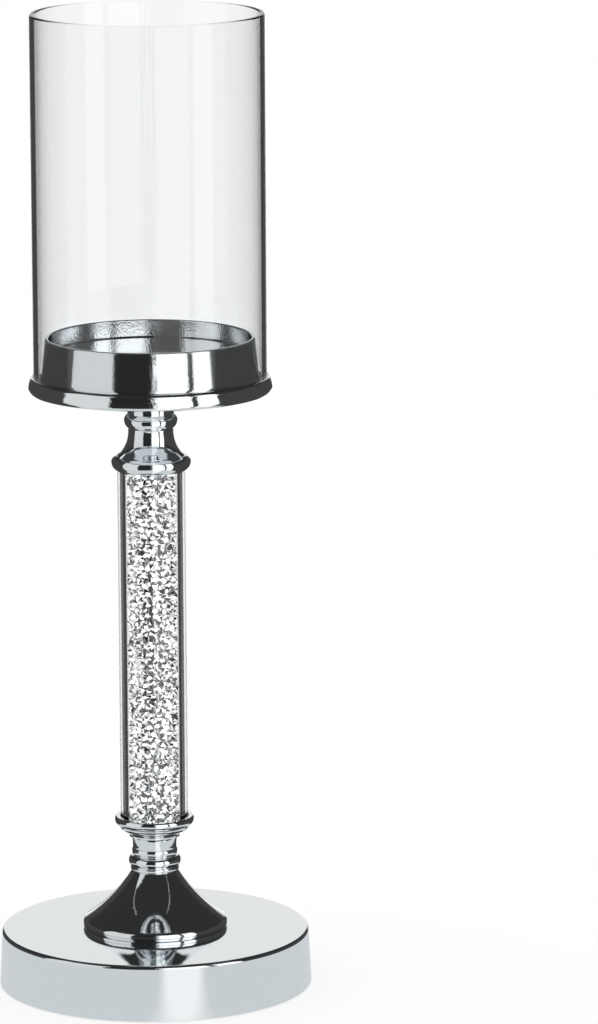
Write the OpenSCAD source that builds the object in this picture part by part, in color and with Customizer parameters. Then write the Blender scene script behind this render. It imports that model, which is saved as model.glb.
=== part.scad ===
// Table candle lamp: a clear glass shade over a pillar-candle cup, on a stem filled with crystal chips.
// Millimetres. +Z is up, and the origin is the centre of the footprint at table level.
// One threaded rod runs from a nut inside the base to a boss under the candle cup and clamps the stack.

/* [Base] */
// Diameter of the base at the table
base_d = 131.4; // [110:0.2:160]
// Height of the base at the seat of the stem
base_h = 24.4; // [22:0.2:34]
// How much the wall leans in from the rim to the top, in radius
base_draft = 1.1; // [0:0.1:3]
// Radius of the rounded top edge
base_edge = 1.7; // [0.6:0.1:2.4]
// How far the top falls from the seat of the stem to its edge
base_crown = 0.6; // [0.2:0.1:1.6]
// Sheet thickness of the base shell
base_wall = 1.2; // [0.8:0.1:2]
// Gap between the shell's rim and the table
rim_gap = 0.5; // [0.3:0.1:1.2]
// Thickness of the rubber pad
pad_t = 2; // [1.4:0.1:3]
// How far the pad's edge stays inside the closing plate
pad_inset = 0.8; // [0.2:0.1:4]
// Thickness of the closing plate
cover_t = 1.5; // [1:0.1:2]
// Play between the shell and what lies inside it
inner_fit = 0.4; // [0.2:0.1:1]

/* [Rod and nut] */
// Diameter of the tie rod
rod_d = 6; // [5:0.5:8]
// Play around the rod where it passes through a piece
rod_fit = 0.3; // [0.2:0.05:0.6]
// Play between the rod and a piece screwed onto it
thread_fit = 0.05; // [0.02:0.01:0.1]
// Length of rod below the nut
rod_tail = 2; // [1:0.5:3]
// Width of the nut across its flats
nut_flats = 10; // [10:0.5:15]
// Height of the nut
nut_h = 5; // [4:0.5:6]
// Width of the ring of the split lock washer
lock_ring = 2.6; // [1.8:0.1:3.2]
// Thickness of the lock washer
lock_t = 1.6; // [1:0.1:2]
// Width of the ring of the plain washer
washer_ring = 5.7; // [4.5:0.1:8]
// Thickness of the plain washer
washer_t = 1.6; // [1:0.1:2]
// Clear space around the washer and below the rod in the ballast's pocket
pocket_gap = 3; // [1:0.5:4]

/* [Bell foot] */
// Diameter of the foot where it stands on the base
foot_d = 60.8; // [50:0.2:76]
// Height of the foot
foot_h = 24.2; // [20:0.2:34]
// Height of the upright band at the foot's edge
foot_band = 2.7; // [1:0.1:4]
// Height of the rolled shoulder above the band
foot_roll_h = 1.3; // [0.8:0.1:3]
// Width of the rolled shoulder
foot_roll_w = 1.2; // [0.8:0.1:3]
// How far the rolled shoulder swells out of a straight line
foot_roll_swell = 0.35; // [0.1:0.05:0.5]
// How far the flare hollows in from a straight line
foot_hollow = 1.6; // [0.8:0.1:3]
// Diameter of the foot at its top
foot_top_d = 19; // [17:0.2:22]
// Wall of the hollow foot
foot_wall = 2.4; // [1.6:0.1:3]

/* [Knop] */
// Diameter of the narrow fillet below the bead
knop_fillet_d = 20.4; // [19:0.2:24]
// Height of the fillet
knop_fillet_h = 1.7; // [1:0.1:3]
// Diameter of the bead
knop_bead_d = 22; // [21:0.2:28]
// Height of the bead
knop_bead_h = 4.8; // [3.5:0.1:6]
// Diameter at the bottom of the groove
knop_groove_d = 17.4; // [16:0.2:18]
// Height of the groove
knop_groove_h = 0.5; // [0.3:0.1:1]
// Diameter of the small band above the groove
knop_band_d = 19.2; // [18.4:0.2:22]
// Height of the small band
knop_band_h = 2.6; // [1.8:0.1:4]

/* [Stem collars] */
// Diameter of the waist of each collar
waist_d = 19; // [17:0.2:20]
// Wall of a collar around the glass tube
collar_wall = 2.2; // [1.6:0.1:4]
// Play between the glass tube and a collar
tube_fit = 0.2; // [0.1:0.05:0.5]
// Depth of the socket that holds the tube, seal included
socket_depth = 3.2; // [2.4:0.1:5]
// Height of the waist of the lower collar
low_waist_h = 5; // [3:0.2:8]
// Height of the thin ring above that waist
low_ring_h = 1.2; // [0.8:0.1:2]
// How far the thin ring stands out from the waist
low_ring_out = 1.3; // [0.6:0.1:2]
// Height of the ogee between the thin ring and the cup of the lower collar
low_ogee_h = 4.2; // [3.2:0.2:7]
// Height of the cup of the lower collar
low_cup_h = 3.4; // [2.6:0.2:6]
// Height of the rolled ring of the upper collar
up_ring_h = 6.4; // [5:0.2:9]
// Height of the shoulder above that ring
up_shoulder_h = 1.3; // [0.8:0.1:2]
// How far the top of the rolled ring stays inside its widest circle
up_ring_in = 2.3; // [1.2:0.1:2.6]
// Height of the hollow neck of the upper collar
up_cove_h = 10; // [8:0.2:15]
// Diameter of the bead at the top of the upper collar
up_bead_d = 22.3; // [21.2:0.2:28]
// Height of that bead
up_bead_h = 6; // [4.6:0.2:8]
// Diameter of the short neck under the plate
neck_d = 19.4; // [18:0.2:21]
// Height of the neck up to the underside of the plate
neck_h = 13.4; // [8:0.2:20]

/* [Crystal column] */
// Outer diameter of the glass tube
tube_d = 28.4; // [25:0.2:36]
// Length of the glass tube
tube_len = 152.4; // [100:0.2:220]
// Wall of the glass tube
tube_wall = 3.3; // [2:0.1:4]
// Thickness of a soft seal under each end of the tube
seal_t = 0.8; // [0.5:0.1:1.2]
// Wall of the sleeve round the rod that keeps the collars apart
core_wall = 0.8; // [0.6:0.1:1.2]
// Distance from one crystal chip to the next
chip_pitch = 3.6; // [3.2:0.1:6]
// Depth of the gaps between chips
chip_depth = 1.3; // [0.6:0.1:1.8]
// How unevenly the chips lie, as a share of their size
chip_scatter = 0.22; // [0:0.01:0.3]
// Play between the outermost chips and the tube
chip_fit = 0.15; // [0.1:0.05:0.5]

/* [Candle cup] */
// Diameter of the well that a pillar candle stands in
candle_d = 84; // [60:0.5:100]
// Depth of the well
well_depth = 7.4; // [5:0.2:10]
// Height of the cup above the plate
cup_h = 17.6; // [14:0.2:26]
// Width of the rolled rim
cup_rim = 1.5; // [1.2:0.1:2.5]
// How much wider the skirt is at its foot than at the rim, in radius
cup_flare = 2.5; // [1:0.1:5]
// Sheet thickness of the cup
cup_wall = 1; // [0.8:0.1:1.4]
// Height of the rolled hem at the foot of the skirt
cup_hem_h = 1.9; // [1.2:0.1:3]
// How far the hem swells out of the skirt
cup_hem_out = 0.45; // [0.2:0.05:0.7]
// Diameter of the threaded boss under the cup
boss_d = 16; // [14:0.5:24]
// Metal left between the end of the rod and the floor of the cup
boss_cap = 1.4; // [1:0.1:2]

/* [Shade and its plate] */
// Height of the glass shade
shade_h = 151.6; // [110:0.2:220]
// Wall of the glass shade
shade_wall = 2; // [1.6:0.1:3]
// Play between the foot of the cup and the glass shade
cup_fit = 0.4; // [0.3:0.05:1]
// Play between the glass shade and the lip of the plate
lip_fit = 0.35; // [0.3:0.05:1]
// Width of the top of the lip
lip_w = 1; // [0.8:0.1:2]
// Height of the lip above the ledge that the shade stands on
lip_h = 1; // [0.6:0.1:2]
// How far the plate's edge swells out below its lip
plate_swell = 0.9; // [0.4:0.1:2]
// Depth of the plate below the ledge
plate_h = 5.4; // [4.4:0.1:8]
// Thickness of the plate's disc
plate_t = 1.5; // [1.2:0.1:2]

/* [Hidden] */
$fn = 96;
// Half the angle between two points of an arc
arc_step = 5;
// Size of the small steps and chamfers turned into the metal
nick = 0.2;

// Radii of the base
base_r = base_d / 2;
top_r = base_r - base_draft;
inside_r = top_r - base_wall - inner_fit;
seat_r = foot_d / 2 + 1;
edge_z = base_h - base_crown;
ballast_z = pad_t + cover_t;
seat_under_z = base_h - base_wall;

// Rod, nut and washers
rod_r = rod_d / 2;
hole_r = rod_r + rod_fit;
thread_r = rod_r + thread_fit;
pocket_h = washer_t + lock_t + nut_h + rod_tail + pocket_gap / 2;
washer_z = ballast_z + pocket_h - washer_t;
lock_z = washer_z - lock_t;
nut_z = lock_z - nut_h;
rod_z = nut_z - rod_tail;
washer_r = hole_r + washer_ring;
lock_r = hole_r + lock_ring;

// Heights of the stack, from the base up
foot_z = base_h;
knop_z = foot_z + foot_h;
knop_h = knop_fillet_h + knop_bead_h + knop_groove_h + knop_band_h;
low_z = knop_z + knop_h;
low_h = low_waist_h + low_ring_h + low_ogee_h + low_cup_h;
well_z = low_z + low_h - socket_depth;
tube_z = well_z + seal_t;
tube_top = tube_z + tube_len;
roof_z = tube_top + seal_t;
up_z = roof_z - socket_depth + seal_t / 4;
up_h = up_ring_h + up_shoulder_h + up_cove_h + up_bead_h;
neck_z = up_z + up_h;
plate_under_z = neck_z + neck_h;
ledge_z = plate_under_z + plate_t;
floor_z = ledge_z + cup_h - well_depth;
boss_h = floor_z - cup_wall - ledge_z;
rod_top = ledge_z + boss_h - boss_cap;

// Radii of the stem
tube_r = tube_d / 2;
tube_bore_r = tube_r - tube_wall;
socket_r = tube_r + tube_fit;
collar_r = socket_r + collar_wall;
waist_r = waist_d / 2;
core_r = hole_r + core_wall;

// Radii of the cup, the shade and its plate
candle_r = candle_d / 2;
cup_rim_r = candle_r + cup_rim;
cup_foot_r = cup_rim_r + cup_flare;
shade_in_r = cup_foot_r + cup_fit;
shade_r = shade_in_r + shade_wall;
lip_in_r = shade_r + lip_fit;
lip_r = lip_in_r + lip_w;
plate_r = lip_r + plate_swell;

// Crystal chips: a triangular grid wrapped round a column, in which every third point is the crown of a
// six-sided chip and the others lie in the gaps between chips
chip_r = tube_bore_r - chip_fit;
grid_step = chip_pitch / sqrt(3);
grid_around = 3 * round(2 * PI * chip_r / (3 * grid_step));
chips_h = roof_z - well_z;
grid_rows = 2 * round(chips_h / (grid_step * sqrt(3)));
row_h = chips_h / grid_rows;
chip_seed = 7;

// Materials' display colours
chrome = [0.78, 0.79, 0.81];
steel = [0.62, 0.63, 0.65];
clear = [0.85, 0.92, 0.95, 0.35];
crystal = [0.95, 0.97, 1];
rubber = [0.09, 0.09, 0.1];
cement = [0.6, 0.59, 0.56];

// Points of an outline from one corner up to the next. Each corner is [radius, height, rise], and the rise
// is how far the arc to the next corner swells out of the metal (+) or hollows into it (-) at its middle.
function stretch(from, to) =
    let (
        run = [to[0] - from[0], to[1] - from[1]],
        chord = norm(run),
        half = 2 * atan(2 * abs(from[2]) / chord),
        r = chord / 2 / max(sin(half), 0.001),
        along = run / chord,
        out = [along[1], -along[0]] * sign(from[2]),
        steps = max(1, ceil(half / arc_step))
    )
    [for (k = [0:steps - 1]) let (turn = half * (2 * k / steps - 1))
        k == 0 ? [from[0], from[1]]
            : [from[0], from[1]] + along * (chord / 2 + r * sin(turn)) + out * r * (cos(turn) - cos(half))];

// A closed outline, listed anticlockwise, spun round the axis
module turned(corners) {
    last = len(corners) - 1;
    rotate_extrude() polygon([
        for (k = [0:last - 1]) each stretch(corners[k], corners[k + 1]), [corners[last][0], corners[last][1]]
    ]);
}

// Rise of a quarter round of the given radius
function quarter(r) = r * (1 - cos(45));

// A flat ring
module ring(outer_r, inner_r, h) {
    difference() {
        cylinder(r = outer_r, h = h);
        translate([0, 0, -1]) cylinder(r = inner_r, h = h + 2);
    }
}

// A straight passage for the rod, from below a piece to above it
module rod_passage(h) {
    translate([0, 0, -1]) cylinder(r = hole_r, h = h + 2);
}

// Rubber pad that the lamp stands on
module base_pad() {
    r = inside_r - pad_inset;
    color(rubber) turned([
        [0, 0, 0], [r - 0.5, 0, quarter(0.5)], [r, 0.5, 0], [r, pad_t, 0], [0, pad_t, 0]
    ]);
}

// Plate that closes the base
module base_cover() {
    color(steel) translate([0, 0, pad_t]) cylinder(r = inside_r, h = cover_t);
}

// Ballast cast to the inside of the shell, with a pocket for the nut
module base_weight() {
    top_edge_z = edge_z - base_wall - inner_fit;
    color(cement) difference() {
        turned([
            [0, ballast_z, 0], [inside_r, ballast_z, 0], [inside_r, top_edge_z - 1, 0],
            [inside_r - 1, top_edge_z, 0], [seat_r, seat_under_z, 0], [0, seat_under_z, 0]
        ]);
        translate([0, 0, ballast_z - 1]) cylinder(r = washer_r + pocket_gap, h = pocket_h + 1);
        translate([0, 0, ballast_z]) rod_passage(base_h);
    }
}

// Pressed shell of the base: slightly crowned top, rounded edge and a wall with a little draft
module base_shell() {
    color(chrome) turned([
        [base_r - base_wall, rim_gap, 0], [base_r, rim_gap, 0],
        [top_r, edge_z - base_edge, quarter(base_edge)],
        for (t = [1:-0.125:0]) [seat_r + (top_r - base_edge - seat_r) * t, base_h - base_crown * t * t, 0],
        [hole_r, base_h, 0], [hole_r, seat_under_z, 0], [seat_r, seat_under_z, 0],
        [top_r - base_wall - inner_fit, edge_z - base_wall, 0],
        [top_r - base_wall, edge_z - base_wall - inner_fit, 0]
    ]);
}

// Hexagon nut with turned corners
module base_nut() {
    corner_r = nut_flats / 2 / cos(30);
    bevel = (corner_r - nut_flats / 2) * tan(30);
    color(steel) translate([0, 0, nut_z]) difference() {
        intersection() {
            cylinder(r = corner_r, h = nut_h, $fn = 6);
            turned([
                [0, 0, 0], [nut_flats / 2, 0, 0], [corner_r, bevel, 0],
                [corner_r, nut_h - bevel, 0], [nut_flats / 2, nut_h, 0], [0, nut_h, 0]
            ]);
        }
        translate([0, 0, -1]) cylinder(r = thread_r, h = nut_h + 2);
    }
}

// Split spring washer
module lock_washer() {
    split = lock_ring / 2;
    color(steel) translate([0, 0, lock_z]) difference() {
        ring(lock_r, hole_r, lock_t);
        rotate([0, 0, 20]) translate([0, -split / 2, -1]) cube([lock_r + 1, split, lock_t + 2]);
    }
}

// Plain washer that spreads the load on the ballast
module base_washer() {
    color(steel) translate([0, 0, washer_z]) ring(washer_r, hole_r, washer_t);
}

// Rod that ties the whole stand together
module tie_rod() {
    bevel = rod_r / 5;
    color(steel) turned([
        [0, rod_z, 0], [rod_r - bevel, rod_z, 0], [rod_r, rod_z + bevel, 0],
        [rod_r, rod_top - bevel, 0], [rod_r - bevel, rod_top, 0], [0, rod_top, 0]
    ]);
}

// Bell-shaped foot of the stem, hollow below
module bell_foot() {
    r = foot_d / 2;
    roll_z = foot_band + foot_roll_h;
    hollow_top = foot_h - 4 * foot_wall;
    color(chrome) translate([0, 0, foot_z]) difference() {
        turned([
            [0, 0, 0], [r, 0, 0], [r, foot_band, foot_roll_swell], [r - foot_roll_w, roll_z, -foot_hollow],
            [foot_top_d / 2, foot_h, 0], [0, foot_h, 0]
        ]);
        turned([
            [0, -1, 0], [r - foot_wall, -1, 0], [r - foot_wall, 0, 0],
            [r - foot_roll_w - foot_wall, foot_band, -foot_hollow],
            [hole_r + foot_wall, hollow_top, 0], [0, hollow_top, 0]
        ]);
        rod_passage(foot_h);
    }
}

// Turned knop: fillet, bead, groove and small band
module knop() {
    fillet_r = knop_fillet_d / 2;
    bead_r = knop_bead_d / 2;
    groove_r = knop_groove_d / 2;
    band_r = knop_band_d / 2;
    root_r = fillet_r - 2 * nick;
    bead_z = knop_fillet_h;
    groove_z = bead_z + knop_bead_h;
    band_z = groove_z + knop_groove_h;
    color(chrome) translate([0, 0, knop_z]) difference() {
        turned([
            [0, 0, 0], [root_r, 0, 0], [fillet_r, 2 * nick, 0], [fillet_r, bead_z - nick, 0],
            [root_r, bead_z, bead_r - root_r], [root_r, groove_z - nick, 0],
            [groove_r, groove_z, 0], [groove_r, band_z, 0],
            [band_r - nick, band_z, nick], [band_r - nick, knop_h - nick, 0],
            [band_r - 2 * nick, knop_h, 0], [0, knop_h, 0]
        ]);
        rod_passage(knop_h);
    }
}

// Lower collar: waist, thin ring, ogee and the cup that holds the tube's lower end
module lower_collar() {
    ring_r = waist_r + low_ring_out;
    ring_z = low_waist_h;
    ogee_z = ring_z + low_ring_h;
    cup_z = ogee_z + low_ogee_h;
    step_r = collar_r - collar_wall;
    cup_in = low_cup_h / 4;
    color(chrome) translate([0, 0, low_z]) difference() {
        turned([
            [0, 0, 0], [waist_r - nick, 0, -nick], [waist_r + nick, ring_z, 0], [ring_r, ring_z + nick, 0],
            [ring_r, ogee_z - nick, 0], [ring_r + nick, ogee_z, -low_ogee_h / 12],
            [step_r - 3 * nick, ogee_z + low_ogee_h * 0.45, nick],
            [step_r + nick, cup_z - 3 * nick, 0], [collar_r - cup_in, cup_z, cup_in - nick / 2],
            [collar_r - cup_in + nick, low_h, 0], [0, low_h, 0]
        ]);
        translate([0, 0, low_h - socket_depth]) cylinder(r = socket_r, h = socket_depth + 1);
        rod_passage(low_h);
    }
}

// Soft ring between the end of the glass tube and a collar
module tube_seal(z) {
    color(rubber) translate([0, 0, z]) ring(tube_r, tube_bore_r, seal_t);
}

module lower_seal() {
    tube_seal(well_z);
}

module upper_seal() {
    tube_seal(tube_top);
}

// Heavy-walled glass tube
module glass_tube() {
    bevel = 0.3;
    color(clear) turned([
        [tube_bore_r, tube_z, 0], [tube_r - bevel, tube_z, 0], [tube_r, tube_z + bevel, 0],
        [tube_r, tube_top - bevel, 0], [tube_r - bevel, tube_top, 0], [tube_bore_r, tube_top, 0]
    ]);
}

// Sleeve round the rod that takes the clamping load past the glass
module core_sleeve() {
    color(steel) translate([0, 0, well_z]) ring(core_r, hole_r, chips_h);
}

// One point of the grid of chips, at a place round the column and a row up it
function chip_point(i, j, noise) =
    let (
        k = 3 * (j * grid_around + i),
        loose = (j == 0 || j == grid_rows) ? 0 : chip_scatter,
        crown = (i - floor(j / 2) - j + 3 * grid_rows) % 3 == 0,
        angle = (i + (j % 2) / 2 + loose * noise[k]) * 360 / grid_around,
        r = chip_r - (crown ? 0 : chip_depth) * (1 - loose * abs(noise[k + 1])) - (crown ? loose / 2 : 0)
    )
    [r * cos(angle), r * sin(angle), well_z + row_h * (j + loose * noise[k + 2])];

// Crystal chips packed round the sleeve, as one closed skin of facets with a bore for the sleeve
module crystal_chips() {
    n = grid_around;
    noise = rands(-1, 1, 3 * n * (grid_rows + 1), chip_seed);
    skin = [for (j = [0:grid_rows]) for (i = [0:n - 1]) chip_point(i, j, noise)];
    bore = [for (z = [well_z, roof_z]) for (i = [0:n - 1]) let (a = i * 360 / n)
        [(core_r + chip_fit) * cos(a), (core_r + chip_fit) * sin(a), z]];
    low = len(skin);
    high = low + n;
    top = n * grid_rows;
    sides = [for (j = [0:grid_rows - 1]) for (i = [0:n - 1])
        let (a = j * n + i, b = j * n + (i + 1) % n, c = a + n, d = b + n)
        each j % 2 == 0 ? [[a, c, b], [b, c, d]] : [[a, d, b], [a, c, d]]];
    ends = [for (i = [0:n - 1]) let (k = (i + 1) % n)
        each [
            [i, k, low + i], [k, low + k, low + i],
            [top + i, high + i, top + k], [top + k, high + i, high + k],
            [low + i, low + k, high + i], [low + k, high + k, high + i]
        ]];
    color(crystal) polyhedron(points = concat(skin, bore), faces = concat(sides, ends));
}

// Upper collar: rolled ring round the tube, shoulder, hollow neck and bead
module upper_collar() {
    mouth_r = socket_r + collar_wall / 4;
    ring_top_r = collar_r - up_ring_in;
    cove_z = up_ring_h + up_shoulder_h;
    cove_r = ring_top_r - up_shoulder_h * 1.4;
    bead_z = cove_z + up_cove_h;
    bead_r = up_bead_d / 2;
    bead_root = bead_r - up_bead_h / 5;
    root_z = bead_z - up_bead_h / 4;
    color(chrome) translate([0, 0, up_z]) difference() {
        turned([
            [0, 0, 0], [mouth_r, 0, collar_r - (mouth_r + ring_top_r) / 2], [ring_top_r, up_ring_h, 0],
            [ring_top_r - nick, up_ring_h + nick, 0], [cove_r, cove_z, -up_cove_h / 11],
            [waist_r, root_z, 0], [waist_r + nick, bead_z, 0],
            [bead_root, bead_z + nick, bead_r - bead_root], [bead_root, up_h - nick, 0],
            [bead_root - nick, up_h, 0], [0, up_h, 0]
        ]);
        translate([0, 0, -1]) cylinder(r = socket_r, h = roof_z - up_z + 1);
        rod_passage(up_h);
    }
}

// Short neck between the upper collar and the plate
module plate_neck() {
    color(chrome) translate([0, 0, neck_z]) ring(neck_d / 2, hole_r, neck_h);
}

// Round plate with a curved edge, a ledge for the shade and a low lip round it
module shade_plate() {
    belly_z = ledge_z - plate_h * 0.7;
    bottom_z = ledge_z - plate_h;
    pan_r = shade_in_r;
    corner = plate_t * 2 / 3;
    color(chrome) turned([
        [hole_r, plate_under_z, 0], [pan_r - corner, plate_under_z, 0], [pan_r, plate_under_z - corner, 0],
        [pan_r + corner, bottom_z + nick, 0], [pan_r + corner + 2 * nick, bottom_z, 0],
        [plate_r - 4 * nick, bottom_z, nick], [plate_r, belly_z, nick], [lip_r, ledge_z + lip_h - nick, 0],
        [lip_r - nick, ledge_z + lip_h, 0], [lip_in_r, ledge_z + lip_h, 0],
        [lip_in_r, ledge_z, 0], [hole_r, ledge_z, 0]
    ]);
}

// Threaded boss under the cup that takes the top of the rod
module cup_boss() {
    color(steel) translate([0, 0, ledge_z]) difference() {
        cylinder(r = boss_d / 2, h = boss_h);
        translate([0, 0, -1]) cylinder(r = thread_r, h = rod_top - ledge_z + 1);
    }
}

// Candle cup: flared skirt on a rolled hem, rolled rim and a shallow flat well
module candle_cup() {
    rim_z = ledge_z + cup_h - cup_rim / 2;
    under_z = floor_z - cup_wall;
    hem_r = cup_foot_r - cup_hem_out;
    hem_z = ledge_z + cup_hem_h;
    heel = 0.8;
    color(chrome) turned([
        [hem_r - cup_wall, ledge_z, 0], [hem_r, ledge_z, cup_hem_out], [hem_r, hem_z, 0],
        [cup_rim_r, rim_z, cup_rim / 2],
        [candle_r, rim_z, 0], [candle_r, floor_z + heel, -quarter(heel)],
        [candle_r - heel, floor_z, 0], [0, floor_z, 0], [0, under_z, 0],
        [candle_r + cup_wall / 2, under_z, 0], [hem_r - cup_wall, hem_z, 0]
    ]);
}

// Clear glass shade, open at both ends, with a fire-polished rim
module glass_shade() {
    top_z = ledge_z + shade_h;
    polish = shade_wall * 0.4;
    color(clear) turned([
        [shade_in_r, ledge_z, 0], [shade_r, ledge_z, 0],
        [shade_r, top_z - polish, polish], [shade_in_r, top_z - polish, 0]
    ]);
}

base_pad();
base_cover();
base_weight();
base_shell();
base_nut();
lock_washer();
base_washer();
tie_rod();
bell_foot();
knop();
lower_collar();
lower_seal();
glass_tube();
core_sleeve();
crystal_chips();
upper_seal();
upper_collar();
plate_neck();
shade_plate();
cup_boss();
candle_cup();
glass_shade();
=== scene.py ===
import math
import random

import bmesh
import bpy
from bpy.props import FloatProperty, FloatVectorProperty, IntProperty, PointerProperty
from bpy.types import Operator, Panel, PropertyGroup
from mathutils import Matrix, Vector


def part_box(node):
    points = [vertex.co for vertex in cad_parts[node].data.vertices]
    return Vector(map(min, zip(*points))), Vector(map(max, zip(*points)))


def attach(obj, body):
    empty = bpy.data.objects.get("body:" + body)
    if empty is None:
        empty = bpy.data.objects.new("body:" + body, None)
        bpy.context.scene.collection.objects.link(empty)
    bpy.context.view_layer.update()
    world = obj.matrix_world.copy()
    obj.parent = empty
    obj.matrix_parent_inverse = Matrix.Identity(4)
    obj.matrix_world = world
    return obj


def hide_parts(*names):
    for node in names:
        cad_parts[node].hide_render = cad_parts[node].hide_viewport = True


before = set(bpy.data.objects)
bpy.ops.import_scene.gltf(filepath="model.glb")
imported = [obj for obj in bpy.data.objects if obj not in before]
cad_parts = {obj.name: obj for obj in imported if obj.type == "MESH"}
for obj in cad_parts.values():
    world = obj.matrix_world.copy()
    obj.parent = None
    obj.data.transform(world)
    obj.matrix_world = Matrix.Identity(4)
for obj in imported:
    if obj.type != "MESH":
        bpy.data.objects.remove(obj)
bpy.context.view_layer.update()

bl_info = {
    "name": "Candle Lamp",
    "version": (1, 0, 0),
    "blender": (4, 5, 0),
    "location": "View3D > Sidebar > Candle Lamp",
    "description": "Builds a table candle lamp with a glass shade and a stem of crystal chips",
    "category": "Object",
}

MM = 0.001
# Half the angle between two points of a round stretch of an outline
ARC_STEP = math.radians(2.0)
# Corners sharper than this get a small round edge
SHARP = math.radians(32.0)
# Points closer than this are one point
MERGE = 1e-6
# A slender piece and a wide one are spun in this many steps
SPIN_STEPS = 192
WIDE_STEPS = 256
# Round edge of a sharp circle: on plain pieces, on finely turned ones and on ground glass
EDGE = 0.15 * MM
FINE_EDGE = 0.1 * MM
GLASS_EDGE = 0.05 * MM
CHIP_SEED = 11
# Small step between two turned forms
NICK = 0.2 * MM


def distance(name, description, millimetres):
    """A length that a user can change, given in millimetres and kept in metres"""
    return FloatProperty(
        name=name,
        description=description,
        default=millimetres * MM,
        min=0.0,
        precision=5,
        unit="LENGTH",
        subtype="DISTANCE",
    )


def share(name, description, value):
    """A number from 0 to 1 that a user can change"""
    return FloatProperty(
        name=name, description=description, default=value, min=0.0, max=1.0, subtype="FACTOR"
    )


def swing(name, description, degrees):
    """An angle that a user can change, given in degrees"""
    return FloatProperty(name=name, description=description, default=math.radians(degrees), subtype="ANGLE")


def tint(name, description, value):
    """A colour that a user can change"""
    return FloatVectorProperty(
        name=name, description=description, default=value, size=3, min=0.0, max=1.0, subtype="COLOR"
    )


class CandleLampBase(PropertyGroup):
    """Sizes of the base and of the bell foot on it"""

    draft: distance("Draft", "How much the wall leans in from the rim to the top", 1.1)
    edge: distance("Edge", "Radius of the rounded top edge", 1.7)
    crown: distance("Crown", "How far the top falls from its middle to its edge", 0.6)
    wall: distance("Wall", "Sheet thickness of the base", 1.2)
    fold: distance("Fold", "Inner corner where the top turns into the wall", 0.4)
    seat: distance("Seat", "How far the flat seat reaches past the foot", 1.0)
    foot_rim_h: distance("Foot rim", "Height of the foot's rim, up to the flare", 4.0)
    foot_crease: distance("Foot crease", "Height of the small crease in the rim", 1.35)
    foot_inside_h: distance("Foot inside", "Height of the upright wall inside the rim", 2.7)
    foot_round_h: distance("Foot round height", "Height of the round edge that leads into the flare", 2.2)
    foot_round_w: distance("Foot round width", "Width of the round edge", 1.2)
    foot_round_swell: distance("Foot round swell", "How far the round edge swells", 0.32)
    foot_hollow: distance("Foot hollow", "How far the flare hollows in", 1.6)
    foot_top_r: distance("Foot top radius", "Radius of the foot at its top", 9.5)
    foot_wall: distance("Foot wall", "Wall of the hollow foot", 2.4)
    hole_r: distance("Hole radius", "Radius of the passage for the tie rod", 3.3)


class CandleLampStem(PropertyGroup):
    """Sizes of the knop, the two collars and the neck"""

    fillet_r: distance("Fillet radius", "Radius of the knop's narrow fillet", 10.2)
    fillet_h: distance("Fillet height", "Height of the knop's fillet", 1.7)
    bead_h: distance("Bead height", "Height of the knop's bead", 4.8)
    groove_r: distance("Groove radius", "Radius at the bottom of the knop's groove", 8.7)
    groove_h: distance("Groove height", "Height of the knop's groove", 0.5)
    band_r: distance("Band radius", "Radius of the knop's small band", 9.6)
    waist_r: distance("Waist radius", "Radius of the waist of each collar", 9.5)
    low_waist_h: distance("Lower waist height", "Height of the lower collar's waist", 5.0)
    low_ring_h: distance("Thin ring height", "Height of the lower collar's thin ring", 1.2)
    low_ring_out: distance("Thin ring", "How far the thin ring stands out from the waist", 1.3)
    low_ogee_h: distance("Ogee height", "Height of the lower collar's ogee", 4.2)
    socket_r: distance("Socket radius", "Radius of the socket for the glass tube", 14.4)
    socket_depth: distance("Socket depth", "Depth of the socket for the glass tube", 3.2)
    collar_wall: distance("Collar wall", "Wall of a collar round its socket", 2.2)
    up_ring_h: distance("Rolled ring height", "Height of the upper collar's rolled ring", 6.4)
    up_ring_in: distance("Rolled ring lean", "How far the rolled ring's top lies inside its widest place", 2.3)
    up_shoulder_h: distance("Shoulder height", "Height of the shoulder above the rolled ring", 1.3)
    up_cove_h: distance("Cove height", "Height of the upper collar's hollow neck", 10.0)
    up_bead_r: distance("Upper bead radius", "Radius of the bead at the top of the upper collar", 11.15)


class CandleLampTop(PropertyGroup):
    """Sizes of the plate, the candle cup and the glass shade"""

    plate_swell: distance("Plate swell", "How far the plate's edge swells out below its lip", 0.9)
    lip_w: distance("Lip width", "Width of the top of the plate's lip", 1.0)
    plate_t: distance("Plate thickness", "Thickness of the plate's disc", 1.5)
    cup_rim: distance("Cup rim", "Width of the rolled rim of the cup", 1.5)
    cup_wall: distance("Cup wall", "Sheet thickness of the cup", 1.0)
    cup_flare: distance("Cup flare", "How much wider the skirt is at its foot", 2.5)
    cup_hem_h: distance("Cup hem", "Height of the rolled hem at the foot of the skirt", 1.9)
    cup_hem_out: distance("Cup hem swell", "How far the rolled hem stands out", 0.45)
    cup_heel: distance("Cup heel", "Radius of the corner at the bottom of the well", 0.8)
    well_depth: distance("Well depth", "Depth of the well for the candle", 7.4)
    shade_wall: distance("Shade wall", "Wall of the glass shade", 2.0)
    tube_wall: distance("Tube wall", "Wall of the glass tube", 3.3)
    glass_bevel: distance("Glass bevel", "Ground edge at the ends of the tube", 0.3)


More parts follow.
